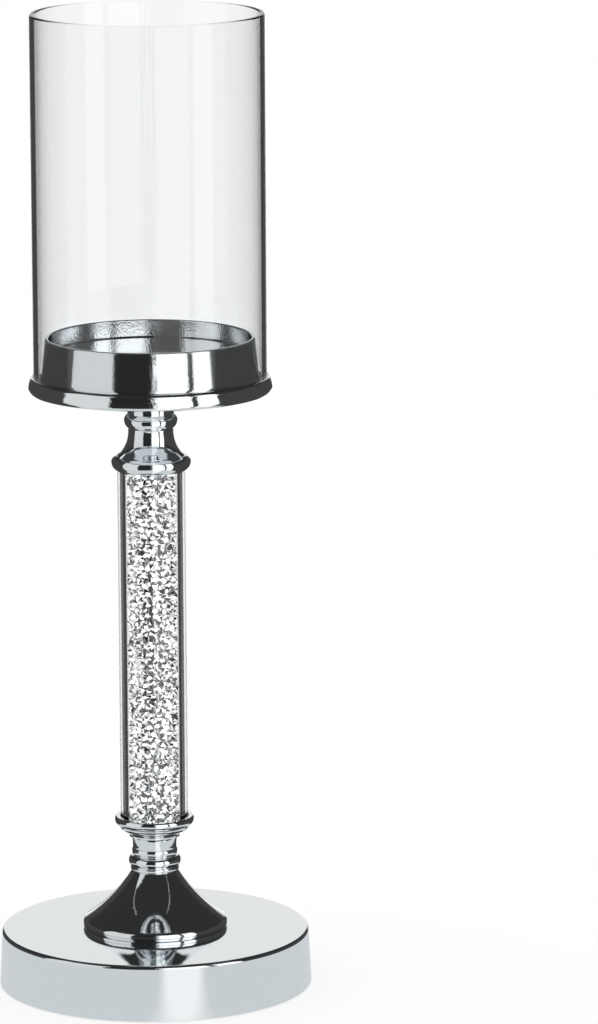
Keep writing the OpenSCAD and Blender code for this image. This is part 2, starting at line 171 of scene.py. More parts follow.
class CandleLampChips(PropertyGroup):
    """How the crystal chips are cut and packed"""

    size: distance("Chip radius", "Radius of the largest chips", 1.7)
    pitch: distance("Chip pitch", "Distance from one chip to the next", 2.9)
    layer: distance("Layer depth", "Distance from one layer of chips to the next", 2.9)
    play: distance("Play", "Room between the chips and the tube", 0.02)
    layers: IntProperty(
        name="Layers", description="Layers of chips from the glass inwards", default=2, min=1, max=3
    )
    shapes: IntProperty(
        name="Shapes", description="How many different chips there are", default=32, min=1, max=64
    )
    points: IntProperty(
        name="Points", description="Corners that a chip is cut from", default=10, min=6, max=16
    )
    scatter: share("Scatter", "How unevenly the chips lie, as a share of their pitch", 0.22)


class CandleLampFinish(PropertyGroup):
    """Colours and polish"""

    chrome: tint("Chrome", "Colour of the polished chrome", (0.86, 0.885, 0.9))
    chrome_roughness: share("Chrome roughness", "Roughness of the polished chrome", 0.035)
    skin: share("Skin", "How strong the fine uneven skin of the chrome is", 0.07)
    skin_inside: share("Skin inside", "How strong the skin is inside the candle well", 0.35)
    glass: tint("Glass", "Tint of the clear glass", (0.955, 0.963, 0.967))
    tube_ior: FloatProperty(
        name="Tube IOR", description="Index of the heavy glass of the tube", default=1.5, min=1.0
    )
    shade_ior: FloatProperty(
        name="Shade IOR", description="Index of the light glass of the shade", default=1.36, min=1.0
    )
    crystal: tint("Crystal", "Colour of the crystal chips", (1.0, 1.0, 1.0))
    # Painted dark facets: how bright a facet is painted where the crystal shows the dark room
    crystal_painted_dark: share("Crystal dark", "How bright the darkest facets are", 0.02)
    crystal_mirror: share("Crystal mirror", "How much of a facet acts as a mirror", 0.25)
    # Painted glow: a bright facet gives light of its own, which stands in for light carried through from behind
    crystal_painted_glow: share("Crystal glow", "Light that a bright facet carries through from behind", 0.95)
    steel: tint("Steel", "Colour of the plain closing plate", (0.55, 0.56, 0.58))
    zinc: tint("Zinc", "Colour of the plated rod, nut, washers and boss", (0.62, 0.63, 0.66))
    aluminium: tint("Aluminium", "Colour of the sleeve inside the tube", (0.8, 0.81, 0.83))
    rubber: tint("Rubber", "Colour of the pad", (0.05, 0.05, 0.055))
    silicone: tint("Silicone", "Colour of the seals", (0.75, 0.77, 0.78))
    cement: tint("Cement", "Colour of the ballast", (0.56, 0.55, 0.52))


class CandleLampStudio(PropertyGroup):
    """Camera, floor and light"""

    lens: FloatProperty(name="Lens", description="Focal length in millimetres", default=212.17, min=1.0)
    camera: FloatVectorProperty(
        name="Camera",
        description="Place of the camera",
        default=(0.06135, -2.46404, 0.68832),
        subtype="TRANSLATION",
    )
    pitch: swing("Pitch", "How far the camera looks down", 11.18)
    roll: swing("Roll", "Roll of the camera", 0.265)
    floor_r: distance("Floor radius", "Radius of the pale floor", 480.0)
    floor_ahead: distance("Floor ahead", "How far in front the middle of the floor in the metal lies", 170.0)
    floor_near: distance("Floor near", "Radius inside which the metal shows all of that floor", 270.0)
    floor_far: distance("Floor far", "Radius outside which the metal shows no floor", 310.0)
    floor_colour: tint("Floor", "Colour of the floor as the metal shows it", (0.66, 0.69, 0.71))
    # Painted pool of light: colour of the floor inside it, as the metal shows it
    painted_pool_colour: tint("Pool", "Colour of the floor in the pool of light", (1.0, 1.0, 1.0))
    painted_pool_soft: distance("Pool softness", "Softness of the sides of the pool of light", 10.0)
    shadow: share("Shadow", "How strongly the floor shows the shadow", 0.35)
    peak: FloatProperty(name="Peak", description="Radiance of the brightest softbox", default=1.4, min=0.1)
    backdrop: FloatProperty(
        name="Backdrop", description="Radiance of the backdrop in the metal", default=0.85, min=0.0
    )
    backdrop_low: FloatProperty(
        name="Low backdrop", description="Radiance of the backdrop below the horizon", default=1.25, min=0.0
    )
    ragged: swing("Ragged", "How far the edge of the brightest softbox frays", 30)
    dark: FloatProperty(
        name="Dark", description="Radiance of the room over the softboxes", default=0.03, min=0.0
    )


def sine(degrees):
    """Height of a direction, by its elevation"""
    return math.sin(math.radians(degrees))


def height(node):
    """Lowest and highest level of a node"""
    low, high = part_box(node)
    return low.z, high.z


def reach(node):
    """Radius of a round node"""
    low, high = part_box(node)
    return min(high.x - low.x, high.y - low.y) / 2


def quarter(radius):
    """Rise of a quarter round"""
    return radius * (1 - math.cos(math.radians(45)))


def stretch(start, end):
    """Points of an outline from one corner up to the next. A corner is (radius, height, rise), and the rise is
    how far the arc to the next corner swells out of the piece (+) or hollows into it (-) at its middle."""
    begin = Vector(start[:2])
    run = Vector(end[:2]) - begin
    rise = start[2]
    if abs(rise) < MERGE:
        return [begin]
    chord = run.length
    half = 2 * math.atan(2 * abs(rise) / chord)
    radius = chord / 2 / math.sin(half)
    along = run / chord
    out = Vector((along.y, -along.x)) * math.copysign(1.0, rise)
    steps = max(1, math.ceil(half / ARC_STEP))
    points = [begin]
    for k in range(1, steps):
        turn = half * (2 * k / steps - 1)
        points.append(
            begin
            + along * (chord / 2 + radius * math.sin(turn))
            + out * radius * (math.cos(turn) - math.cos(half))
        )
    return points


def spun(name, corners, edge=EDGE, steps=SPIN_STEPS):
    """A turned piece: its outline is spun round the axis, and its sharp circles get a small round edge"""
    points = []
    for start, end in zip(corners, corners[1:]):
        points += stretch(start, end)
    points.append(Vector(corners[-1][:2]))
    on_axis = points[0].x < MERGE and points[-1].x < MERGE
    bm = bmesh.new()
    verts = [bm.verts.new((point.x, 0.0, point.y)) for point in points]
    chain = verts if on_axis else verts + verts[:1]
    edges = [bm.edges.new(pair) for pair in zip(chain, chain[1:])]
    bmesh.ops.spin(
        bm,
        geom=verts + edges,
        cent=(0, 0, 0),
        axis=(0, 0, 1),
        angle=math.tau,
        steps=steps,
        use_merge=True,
    )
    bmesh.ops.remove_doubles(bm, verts=bm.verts, dist=MERGE)
    bmesh.ops.recalc_face_normals(bm, faces=bm.faces)
    circles = [e for e in bm.edges if e.is_manifold and e.calc_face_angle() > SHARP]
    if circles:
        bmesh.ops.bevel(
            bm,
            geom=circles,
            affect="EDGES",
            offset_type="OFFSET",
            offset=edge,
            segments=3,
            profile=0.5,
            material=-1,
            clamp_overlap=True,
        )
    return piece_from(bm, name)


def piece_from(bm, name):
    """The object of a finished mesh"""
    mesh = bpy.data.meshes.new(name)
    bm.to_mesh(mesh)
    bm.free()
    obj = bpy.data.objects.new(name, mesh)
    bpy.context.scene.collection.objects.link(obj)
    return obj


def dress(obj, material, body, node):
    """Gives a smooth piece its material, smooth shading with weighted normals and its body, and hides the CAD
    node that it stands for
    """
    obj.data.materials.append(material)
    obj.data.shade_smooth()
    obj.data.set_sharp_from_angle(angle=SHARP)
    weighted = obj.modifiers.new("Weighted normals", "WEIGHTED_NORMAL")
    weighted.keep_sharp = True
    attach(obj, body)
    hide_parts(node)


def add(tree, kind, **settings):
    """A new shader node with some of its settings"""
    node = tree.nodes.new(kind)
    for name, value in settings.items():
        setattr(node, name, value)
    return node


def feed(tree, node, **inputs):
    """Sets or links the inputs of a node. An underscore in a name stands for a space, and i with a number for
    the input at that place."""
    for name, value in inputs.items():
        key = int(name[1:]) if name[0] == "i" and name[1:].isdigit() else name.replace("_", " ")
        socket = node.inputs[key]
        if isinstance(value, bpy.types.NodeSocket):
            tree.links.new(value, socket)
        else:
            socket.default_value = value
    return node


def calc(tree, operation, *values):
    """The output of a math node"""
    node = add(tree, "ShaderNodeMath", operation=operation)
    for place, value in enumerate(values):
        feed(tree, node, **{f"i{place}": value})
    return node.outputs[0]


def step_up(tree, value, low, high):
    """A smooth step from 0 at the low value to 1 at the high one"""
    node = add(tree, "ShaderNodeMapRange", interpolation_type="SMOOTHSTEP")
    feed(tree, node, Value=value, From_Min=low, From_Max=high)
    return node.outputs["Result"]


def within(tree, value, low, high):
    """1 between two values, and 0 outside them"""
    return calc(tree, "COMPARE", value, (low + high) / 2, (high - low) / 2)


def blend(tree, factor, first, second):
    """One value into another"""
    node = add(tree, "ShaderNodeMix", data_type="FLOAT")
    feed(tree, node, i0=factor, i2=first, i3=second)
    return node.outputs[0]


def blend_colours(tree, factor, first, second):
    """One colour into another"""
    node = feed(tree, add(tree, "ShaderNodeMix", data_type="RGBA"), Factor=factor)
    ends = [socket for socket in node.inputs if socket.type == "RGBA"]
    ends[0].default_value = (*first, 1.0)
    ends[1].default_value = (*second, 1.0)
    return next(socket for socket in node.outputs if socket.type == "RGBA")


def new_material(name):
    """A material, its tree and its main shader"""
    material = bpy.data.materials.new(name)
    material.use_nodes = True
    tree = material.node_tree
    shader = next(node for node in tree.nodes if node.type == "BSDF_PRINCIPLED")
    return material, tree, shader


def grain(tree, scale, stretched=(1.0, 1.0, 1.0), detail=2.0):
    """A noise on the piece's own coordinates"""
    place = add(tree, "ShaderNodeTexCoord").outputs["Object"]
    mapping = feed(tree, add(tree, "ShaderNodeMapping"), Vector=place, Scale=stretched)
    noise = feed(tree, add(tree, "ShaderNodeTexNoise"), Vector=mapping.outputs[0], Scale=scale, Detail=detail)
    return noise.outputs[0]


def between(tree, value, low, high):
    """Spreads the middle of a noise, where most of it lies, over a range"""
    node = add(tree, "ShaderNodeMapRange")
    feed(tree, node, Value=value, From_Min=0.3, From_Max=0.7, To_Min=low, To_Max=high)
    return node.outputs["Result"]


def relief(tree, shader, value, strength, depth):
    """Bump from a noise"""
    bump = feed(tree, add(tree, "ShaderNodeBump"), Height=value, Strength=strength, Distance=depth)
    feed(tree, shader, Normal=bump.outputs[0])


def polished_chrome(name, rough_inside=0.0):
    """Mirror-bright chrome with the faint waves and haze of polishing. At one radius, on a wall that no
    polishing wheel reaches, it keeps a fine uneven skin."""
    finish = bpy.context.scene.candle_lamp_finish
    material, tree, shader = new_material(name)
    feed(tree, shader, Base_Color=(*finish.chrome, 1.0), Metallic=1.0)
    haze = between(tree, grain(tree, 90.0), finish.chrome_roughness * 0.6, finish.chrome_roughness * 1.4)
    feed(tree, shader, Roughness=haze)
    strength = finish.skin
    if rough_inside:
        place = add(tree, "ShaderNodeTexCoord").outputs["Object"]
        axes = feed(tree, add(tree, "ShaderNodeSeparateXYZ"), Vector=place).outputs
        squares = [calc(tree, "POWER", axes[name], 2.0) for name in "XY"]
        out = calc(tree, "SQRT", calc(tree, "ADD", *squares))
        inside = within(tree, out, rough_inside - MM / 2, rough_inside + MM / 2)
        strength = calc(tree, "MULTIPLY_ADD", inside, finish.skin_inside - finish.skin, finish.skin)
    relief(tree, shader, grain(tree, 1200.0), strength, 0.2 * MM)
    return material


def clear_glass(name, ior):
    """Clear glass with a trace of the lines of drawing along it"""
    finish = bpy.context.scene.candle_lamp_finish
    material, tree, shader = new_material(name)
    feed(tree, shader, Base_Color=(*finish.glass, 1.0), Roughness=0.0, IOR=ior, Transmission_Weight=1.0)
    relief(tree, shader, grain(tree, 60.0, (1.0, 1.0, 0.08)), 0.02, 0.05 * MM)
    return material


def crystal_glass():
    """Cut crystal with painted light on its facets: each facet's painted level sets it between a painted dark,
    for the dark room seen in the crystal, and the crystal's colour, and bright facets get a painted glow
    """
    finish = bpy.context.scene.candle_lamp_finish
    material, tree, shader = new_material("crystal_glass")
    painted_facet_light = add(tree, "ShaderNodeAttribute", attribute_name="painted_facet_light").outputs["Fac"]
    # Painted light: a facet's colour goes from the painted dark to the crystal's colour with its painted level
    dark = [channel * finish.crystal_painted_dark for channel in finish.crystal]
    colour = blend_colours(tree, painted_facet_light, dark, finish.crystal)
    feed(tree, shader, Base_Color=colour, Metallic=finish.crystal_mirror, Roughness=0.06, IOR=1.6)
    # Painted glow: bright facets give light of their own, standing in for light carried through the crystal
    glow = calc(tree, "MULTIPLY", painted_facet_light, finish.crystal_painted_glow)
    feed(tree, shader, Emission_Color=(*finish.crystal, 1.0), Emission_Strength=glow)
    return material


def worked_metal(name, colour, roughness, lines):
    """Steel or aluminium with fine lines from the tool round it"""
    material, tree, shader = new_material(name)
    feed(tree, shader, Base_Color=(*colour, 1.0), Metallic=1.0)
    marks = grain(tree, lines, (0.05, 0.05, 1.0), 4.0)
    feed(tree, shader, Roughness=between(tree, marks, roughness * 0.8, roughness * 1.3))
    relief(tree, shader, marks, 0.15, 0.05 * MM)
    return material


def mottled(name, colour, roughness, scale, depth):
    """Rubber, silicone or cement: a dull body with a fine uneven skin"""
    material, tree, shader = new_material(name)
    cloud = grain(tree, scale, detail=5.0)
    darker, lighter = ([min(1.0, channel * factor) for channel in colour] for factor in (0.75, 1.25))
    feed(tree, shader, Base_Color=blend_colours(tree, cloud, darker, lighter), Roughness=roughness)
    relief(tree, shader, cloud, 0.4, depth)
    return material


class CANDLE_LAMP_OT_base(Operator):
    """Pressed chrome base with a crowned top and a rounded edge"""

    bl_idname = "candle_lamp.base"
    bl_label = "Base"

    def execute(self, context):
        size = context.scene.candle_lamp_base
        rim_z, seat_z = height("base_shell")
        base_r = reach("base_shell")
        top_r = base_r - size.draft
        edge_z = seat_z - size.crown
        seat_r = reach("bell_foot") + size.seat
        flat_r = top_r - size.edge
        crown_steps = 24
        crown = []
        for k in range(crown_steps, -1, -1):
            t = k / crown_steps
            crown.append((seat_r + (flat_r - seat_r) * t, seat_z - size.crown * t * t, 0.0))
        under_z = seat_z - size.wall
        shell = spun("base_shell_chrome", [
            (base_r - size.wall, rim_z, 0.0),
            (base_r, rim_z, 0.0),
            (top_r, edge_z - size.edge, quarter(size.edge)),
            *crown,
            (size.hole_r, seat_z, 0.0),
            (size.hole_r, under_z, 0.0),
            (seat_r, under_z, 0.0),
            (top_r - size.wall - size.fold, edge_z - size.wall, 0.0),
            (top_r - size.wall, edge_z - size.wall - size.fold, 0.0),
        ], steps=WIDE_STEPS)
        dress(shell, polished_chrome("base_chrome"), "stand", "base_shell")
        return {"FINISHED"}


class CANDLE_LAMP_OT_foot(Operator):
    """Bell foot with a rounded rim and a hollow flare"""

    bl_idname = "candle_lamp.foot"
    bl_label = "Bell foot"

    def execute(self, context):
        size = context.scene.candle_lamp_base
        low, high = height("bell_foot")
        r = reach("bell_foot")
        flare_r = r - size.foot_round_w
        flare_z = low + size.foot_rim_h
        crease_z = low + size.foot_crease
        hollow_top = high - 4 * size.foot_wall
        foot = spun("bell_foot_chrome", [
            (r - NICK, low, NICK / 4),
            (r, crease_z - NICK / 2, 0.0),
            (r - NICK / 2, crease_z, 0.0),
            (r, crease_z + NICK / 2, 0.0),
            (r, flare_z - size.foot_round_h, size.foot_round_swell),
            (flare_r, flare_z, -size.foot_hollow),
            (size.foot_top_r, high, 0.0),
            (size.hole_r, high, 0.0),
            (size.hole_r, hollow_top, 0.0),
            (size.hole_r + size.foot_wall, hollow_top, size.foot_hollow),
            (flare_r - size.foot_wall, low + size.foot_inside_h, 0.0),
            (r - size.foot_wall, low, 0.0),
        ], edge=FINE_EDGE)
        dress(foot, polished_chrome("foot_chrome"), "stand", "bell_foot")
        return {"FINISHED"}


class CANDLE_LAMP_OT_knop(Operator):
    """Turned knop: fillet, bead, groove and small band"""

    bl_idname = "candle_lamp.knop"
    bl_label = "Knop"

    def execute(self, context):
        size = context.scene.candle_lamp_stem
        hole_r = context.scene.candle_lamp_base.hole_r
        low, high = height("knop")
        bead_r = reach("knop")
        nick = NICK
        root_r = size.fillet_r - 2 * nick
        bead_z = low + size.fillet_h
        groove_z = bead_z + size.bead_h
        band_z = groove_z + size.groove_h
        band_root = size.band_r - nick
        knop = spun("knop_chrome", [
            (root_r, low, 0.0),
            (size.fillet_r, low + 2 * nick, 0.0),
            (size.fillet_r, bead_z - nick, 0.0),
            (root_r, bead_z, bead_r - root_r),
            (root_r, groove_z - nick, 0.0),
            (size.groove_r, groove_z, 0.0),
            (size.groove_r, band_z, 0.0),
            (band_root, band_z, size.band_r - band_root),
            (band_root, high - nick, 0.0),
            (band_root - nick, high, 0.0),
            (hole_r, high, 0.0),
            (hole_r, low, 0.0),
        ])
        dress(knop, polished_chrome("knop_chrome"), "stand", "knop")
        return {"FINISHED"}


class CANDLE_LAMP_OT_collars(Operator):
    """Lower and upper collar that hold the glass tube, and the neck under the plate"""

    bl_idname = "candle_lamp.collars"
    bl_label = "Collars and neck"

    def execute(self, context):
        size = context.scene.candle_lamp_stem
        hole_r = context.scene.candle_lamp_base.hole_r
        self.lower(size, hole_r)
        self.upper(size, hole_r)
        self.neck(hole_r)
        return {"FINISHED"}

    def lower(self, size, hole_r):
        low, high = height("lower_collar")
        cup_r = reach("lower_collar")
        ring_r = size.waist_r + size.low_ring_out
        ring_z = low + size.low_waist_h
        ogee_z = ring_z + size.low_ring_h
        cup_z = ogee_z + size.low_ogee_h
        nick = NICK
        collar_r = cup_r + nick / 2
        step_r = collar_r - size.collar_wall
        cup_in = (high - cup_z) / 4
        collar = spun("lower_collar_chrome", [
            (size.waist_r - nick, low, -nick),
            (size.waist_r + nick, ring_z, 0.0),
            (ring_r, ring_z + nick, 0.0),
            (ring_r, ogee_z - nick, 0.0),
            (ring_r + nick, ogee_z, -size.low_ogee_h / 12),
            (step_r - 3 * nick, ogee_z + size.low_ogee_h * 0.45, nick),
            (step_r + nick, cup_z - 3 * nick, 0.0),
            (collar_r - cup_in, cup_z, cup_in - nick / 2),
            (collar_r - cup_in + nick, high, 0.0),
            (size.socket_r, high, 0.0),
            (size.socket_r, high - size.socket_depth, 0.0),
            (hole_r, high - size.socket_depth, 0.0),
            (hole_r, low, 0.0),
        ], edge=FINE_EDGE)
        dress(collar, polished_chrome("lower_collar_chrome"), "stand", "lower_collar")

    def upper(self, size, hole_r):
        low, high = height("upper_collar")
        ring_r = reach("upper_collar")
        roof_z = height("upper_seal")[1]
        shoulder_z = low + size.up_ring_h
        cove_z = shoulder_z + size.up_shoulder_h
        bead_z = cove_z + size.up_cove_h
        bead_root = size.up_bead_r - (high - bead_z) / 5
        root_z = bead_z - (high - bead_z) / 4
        mouth_r = size.socket_r + size.collar_wall / 4
        ring_top_r = ring_r - size.up_ring_in
        cove_r = ring_top_r - size.up_shoulder_h * 1.4
        nick = NICK
        collar = spun("upper_collar_chrome", [
            (mouth_r, low, ring_r - (mouth_r + ring_top_r) / 2),
            (ring_top_r, shoulder_z, 0.0),
            (ring_top_r - nick, shoulder_z + nick, 0.0),
            (cove_r, cove_z, -size.up_cove_h / 11),
            (size.waist_r, root_z, 0.0),
            (size.waist_r + nick, bead_z, 0.0),
            (bead_root, bead_z + nick, size.up_bead_r - bead_root),
            (bead_root, high - nick, 0.0),
            (bead_root - nick, high, 0.0),
            (hole_r, high, 0.0),
            (hole_r, roof_z, 0.0),
            (size.socket_r, roof_z, 0.0),
            (size.socket_r, low, 0.0),
        ], edge=FINE_EDGE)
        dress(collar, polished_chrome("upper_collar_chrome"), "stand", "upper_collar")

    def neck(self, hole_r):
        low, high = height("plate_neck")
        r = reach("plate_neck")
        corners = [(r, low, 0.0), (r, high, 0.0), (hole_r, high, 0.0), (hole_r, low, 0.0)]
        neck = spun("plate_neck_chrome", corners)
        dress(neck, polished_chrome("neck_chrome"), "stand", "plate_neck")


class CANDLE_LAMP_OT_plate(Operator):
    """Round plate with a curved edge, a ledge for the shade and a low lip"""

    bl_idname = "candle_lamp.plate"
    bl_label = "Shade plate"

    def execute(self, context):
        size = context.scene.candle_lamp_top
        hole_r = context.scene.candle_lamp_base.hole_r
        bottom_z, lip_z = height("shade_plate")
        plate_r = reach("shade_plate")
        ledge_z = height("glass_shade")[0]
        under_z = ledge_z - size.plate_t
        lip_r = plate_r - size.plate_swell
        belly_z = ledge_z - (ledge_z - bottom_z) * 0.7
        pan_r = reach("glass_shade") - size.shade_wall
        corner = size.plate_t * 2 / 3
        nick = NICK
        plate = spun("shade_plate_chrome", [
            (hole_r, under_z, 0.0),
            (pan_r - corner, under_z, 0.0),
            (pan_r, under_z - corner, 0.0),
            (pan_r + corner, bottom_z + nick, 0.0),
            (pan_r + corner + 2 * nick, bottom_z, 0.0),
            (plate_r - 4 * nick, bottom_z, nick),
            (plate_r, belly_z, nick / 2),
            (lip_r + 0.75 * nick, lip_z - 1.5 * size.lip_w, 1.5 * nick),
            (lip_r - 0.75 * size.lip_w, lip_z, 0.0),
            (lip_r - size.lip_w, lip_z, 0.0),
            (lip_r - size.lip_w, ledge_z, 0.0),
            (hole_r, ledge_z, 0.0),
        ], steps=WIDE_STEPS)
        dress(plate, polished_chrome("plate_chrome"), "stand", "shade_plate")
        return {"FINISHED"}


class CANDLE_LAMP_OT_cup(Operator):
    """Candle cup with a flared skirt, a rolled rim and a shallow well"""

    bl_idname = "candle_lamp.cup"
    bl_label = "Candle cup"

    def execute(self, context):
        size = context.scene.candle_lamp_top
        low, high = height("candle_cup")
        foot_r = reach("candle_cup")
        rim_r = foot_r - size.cup_flare
        well_r = rim_r - size.cup_rim
        rim_z = high - size.cup_rim / 2
        floor_z = high - size.well_depth
        under_z = floor_z - size.cup_wall
        heel = size.cup_heel
        hem_r = foot_r - size.cup_hem_out
        hem_z = low + size.cup_hem_h
        cup = spun("candle_cup_chrome", [
            (hem_r - size.cup_wall, low, 0.0),
            (foot_r - NICK / 2, low, NICK / 4),
            (foot_r - NICK / 2, low + size.cup_hem_h / 2, 0.0),
            (foot_r - NICK / 2 - 2 * size.cup_hem_out, low + size.cup_hem_h * 4 / 3, 0.0),
            (rim_r, rim_z, size.cup_rim / 2),
            (well_r, rim_z, 0.0),
            (well_r, floor_z + heel, -quarter(heel)),
            (well_r - heel, floor_z, 0.0),
            (0.0, floor_z, 0.0),
            (0.0, under_z, 0.0),
            (well_r + size.cup_wall / 2, under_z, 0.0),
            (hem_r - size.cup_wall, hem_z, 0.0),
        ], steps=WIDE_STEPS)
        chrome = polished_chrome("cup_chrome", rough_inside=well_r)
        dress(cup, chrome, "stand", "candle_cup")
        return {"FINISHED"}


class CANDLE_LAMP_OT_tube(Operator):
    """Heavy-walled glass tube of the stem"""

    bl_idname = "candle_lamp.tube"
    bl_label = "Glass tube"

    def execute(self, context):
        size = context.scene.candle_lamp_top
        low, high = height("glass_tube")
        r = reach("glass_tube")
        bore_r = r - size.tube_wall
        bevel = size.glass_bevel
        tube = spun("glass_tube_clear", [
            (bore_r, low, 0.0),
            (r - bevel, low, 0.0),
            (r, low + bevel, 0.0),
            (r, high - bevel, 0.0),
            (r - bevel, high, 0.0),
            (bore_r, high, 0.0),
        ], edge=GLASS_EDGE)
        glass = clear_glass("tube_glass", context.scene.candle_lamp_finish.tube_ior)
        dress(tube, glass, "stand", "glass_tube")
        return {"FINISHED"}


class CANDLE_LAMP_OT_chips(Operator):
    """Crystal chips packed between the tube and the sleeve"""

    bl_idname = "candle_lamp.chips"
    bl_label = "Crystal chips"

    # Painted levels of light on the facets, and how often each comes in the outer layer and in the inner ones.
    # Bright levels are painted light let through the crystal, dark ones paint the dark room seen in it, and the
    # inner layers get more dark ones as painted shade deep in the pile
    PAINTED_LEVELS = (1.0, 0.9, 0.45, 0.0)
    OUTER = (74, 8, 2, 16)
    INNER = (46, 12, 8, 34)
    # Painted shade: share of its painted level that a facet keeps which looks inwards, and one which looks along
    # the tube's wall
    INWARDS = 0.08
    SIDEWAYS = 0.35
    # Least and most of what varies: how far from its middle a chip's corners lie, the size of a chip, and its
    # width and depth as a share of its length
    CORNERS = (0.85, 1.0)
    SIZES = (0.78, 1.0)
    WIDTHS = (0.75, 1.0)
    DEPTHS = (0.6, 0.95)
    # Distance between two rows, as a share of the pitch
    ROW_PITCH = 0.9

    def chip(self, draw, points):
        """One cut chip of unit radius: the hull of a few points"""
        bm = bmesh.new()
        for _ in range(points):
            direction = Vector((draw.gauss(0, 1), draw.gauss(0, 1), draw.gauss(0, 1))).normalized()
            bm.verts.new(direction * draw.uniform(*self.CORNERS))
        bmesh.ops.convex_hull(bm, input=bm.verts)
        bmesh.ops.delete(bm, geom=[vert for vert in bm.verts if not vert.link_faces], context="VERTS")
        bmesh.ops.recalc_face_normals(bm, faces=bm.faces)
        mesh = bpy.data.meshes.new("chip")
        bm.to_mesh(mesh)
        bm.free()
        return mesh

    def execute(self, context):
        size = context.scene.candle_lamp_chips
        draw = random.Random(CHIP_SEED)
        chips = [self.chip(draw, size.points) for _ in range(size.shapes)]
        low, high = height("crystal_chips")
        wall_r = reach("crystal_chips") - size.play
        rows = round((high - low - 2 * size.size) / (size.pitch * self.ROW_PITCH))
        bm = bmesh.new()
        painted_levels = []
        for layer in range(size.layers):
            layer_r = wall_r - size.size - layer * size.layer
            weights = self.INNER if layer else self.OUTER
            touch_r = layer_r + size.size if layer else wall_r
            around = round(math.tau * layer_r / size.pitch)
            for row in range(rows + 1):
                for place in range(around):
                    chip = chips[draw.randrange(size.shapes)]
                    at = (row, rows, place, around)
                    self.set_chip(bm, chip, draw, size, layer_r, touch_r, at, (low, high))
                    painted_levels += draw.choices(self.PAINTED_LEVELS, weights, k=len(chip.polygons))
        fill = piece_from(bm, "crystal_chips_cut")
        # Painted shade: facets that look outwards keep their painted level, and those that look at their
        # neighbours are painted darker
        for place, facet in enumerate(fill.data.polygons):
            outward = facet.center.xy.normalized().dot(facet.normal.xy)
            painted_levels[place] *= min(1.0, max(self.INWARDS, self.SIDEWAYS + outward))
        painted_facet_light = fill.data.attributes.new("painted_facet_light", "FLOAT", "FACE")
        painted_facet_light.data.foreach_set("value", painted_levels)
        fill.data.materials.append(crystal_glass())
        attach(fill, "stand")
        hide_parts("crystal_chips")
        for chip in chips:
            bpy.data.meshes.remove(chip)
        return {"FINISHED"}

    def set_chip(self, bm, chip, draw, size, layer_r, touch_r, at, ends):
        """Puts one chip in its row and ring, turned and scaled by chance, between the ends of the tube. Its
        outermost corner touches the given radius."""
        row, rows, place, around = at
        low, high = ends
        radius = size.size * draw.uniform(*self.SIZES)
        loose = size.scatter * size.pitch
        angle = (place + (row % 2) / 2 + draw.uniform(-size.scatter, size.scatter)) * math.tau / around
        r = layer_r + draw.uniform(-loose, loose) * (touch_r - layer_r) / touch_r
        z = low + size.size + (high - low - 2 * size.size) * row / rows + draw.uniform(-loose, loose)
        z = min(max(z, low + radius), high - radius)
        turn = Matrix.Rotation(draw.uniform(0, math.tau), 4, Vector([draw.gauss(0, 1) for _ in range(3)]))
        flat = Matrix.Diagonal((1.0, draw.uniform(*self.WIDTHS), draw.uniform(*self.DEPTHS), 1.0))
        shape = turn @ flat @ Matrix.Scale(radius, 4)
        corners = [(shape @ vert.co).xy for vert in chip.vertices]
        out = Vector((math.cos(angle), math.sin(angle)))
        # Each pass takes the corner that reaches furthest closer to the radius
        for _ in range(3):
            r += touch_r - max((out * r + corner).length for corner in corners)
        spot = Matrix.Translation((*(out * r), z))
        first = len(bm.verts)
        bm.from_mesh(chip)
        bm.verts.ensure_lookup_table()
        bmesh.ops.transform(bm, matrix=spot @ shape, verts=bm.verts[first:])


class CANDLE_LAMP_OT_shade(Operator):
    """Clear glass shade, open at both ends, with a fire-polished rim"""

    bl_idname = "candle_lamp.shade"
    bl_label = "Glass shade"

    def execute(self, context):
        size = context.scene.candle_lamp_top
        low, high = height("glass_shade")
        r = reach("glass_shade")
        inner_r = r - size.shade_wall
        polish = size.shade_wall * 0.4
        shade = spun("glass_shade_clear", [
            (inner_r, low, 0.0),
            (r, low, 0.0),
            (r, high - polish, polish),
            (inner_r, high - polish, 0.0),
        ], steps=WIDE_STEPS)
        glass = clear_glass("shade_glass", context.scene.candle_lamp_finish.shade_ior)
        dress(shade, glass, "shade", "glass_shade")
        return {"FINISHED"}


class CANDLE_LAMP_OT_inner_parts(Operator):
    """Finishes of the parts inside and under the lamp"""

    bl_idname = "candle_lamp.inner_parts"
    bl_label = "Inner parts"

    def execute(self, context):
        finish = context.scene.candle_lamp_finish
        zinc = worked_metal("zinc_steel", finish.zinc, 0.3, 900.0)
        silicone = mottled("seal_rubber", finish.silicone, 0.5, 900.0, 0.1 * MM)
        finishes = {
            "base_pad": mottled("pad_rubber", finish.rubber, 0.85, 500.0, 0.2 * MM),
            "base_cover": worked_metal("plain_steel", finish.steel, 0.35, 300.0),
            "base_weight": mottled("ballast_cement", finish.cement, 0.9, 160.0, 0.3 * MM),
            "base_nut": zinc,
            "lock_washer": zinc,
            "base_washer": zinc,
            "tie_rod": zinc,
            "cup_boss": zinc,
            "lower_seal": silicone,
            "upper_seal": silicone,
            "core_sleeve": worked_metal("sleeve_aluminium", finish.aluminium, 0.2, 700.0),
        }
        for name, material in finishes.items():
            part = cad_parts[name]
            for place in part.material_slots:
                place.material = material
        return {"FINISHED"}


